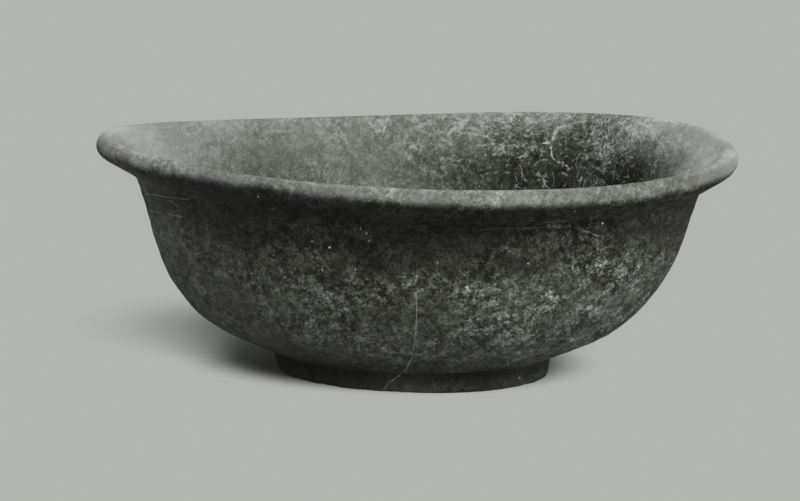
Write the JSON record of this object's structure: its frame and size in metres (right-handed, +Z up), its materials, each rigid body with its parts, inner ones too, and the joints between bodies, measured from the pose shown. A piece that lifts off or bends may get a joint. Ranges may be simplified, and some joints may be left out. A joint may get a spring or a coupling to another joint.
{
  "type": "bowl",
  "caption": "Hand-made dark clay bowl with a wide open mouth, a thick turned-out lip, a steep wall above a shallow cone, and a low ring foot.",
  "frame": {"origin": "on the surface that the bowl stands on, under the middle of the rim", "axes": "+Z up out of the mouth, -Y towards the side that the picture shows, +X to the right in it"},
  "size_m": [0.1998, 0.1998, 0.0751],
  "materials": {
    "wall_clay": "matte",
    "lip_clay": "matte",
    "foot_clay": "matte"
  },
  "bodies": {
    "root": {"bowl_body": "wall_clay", "rim_lip": "lip_clay", "foot_ring": "foot_clay"}
  },
  "joints": []
}
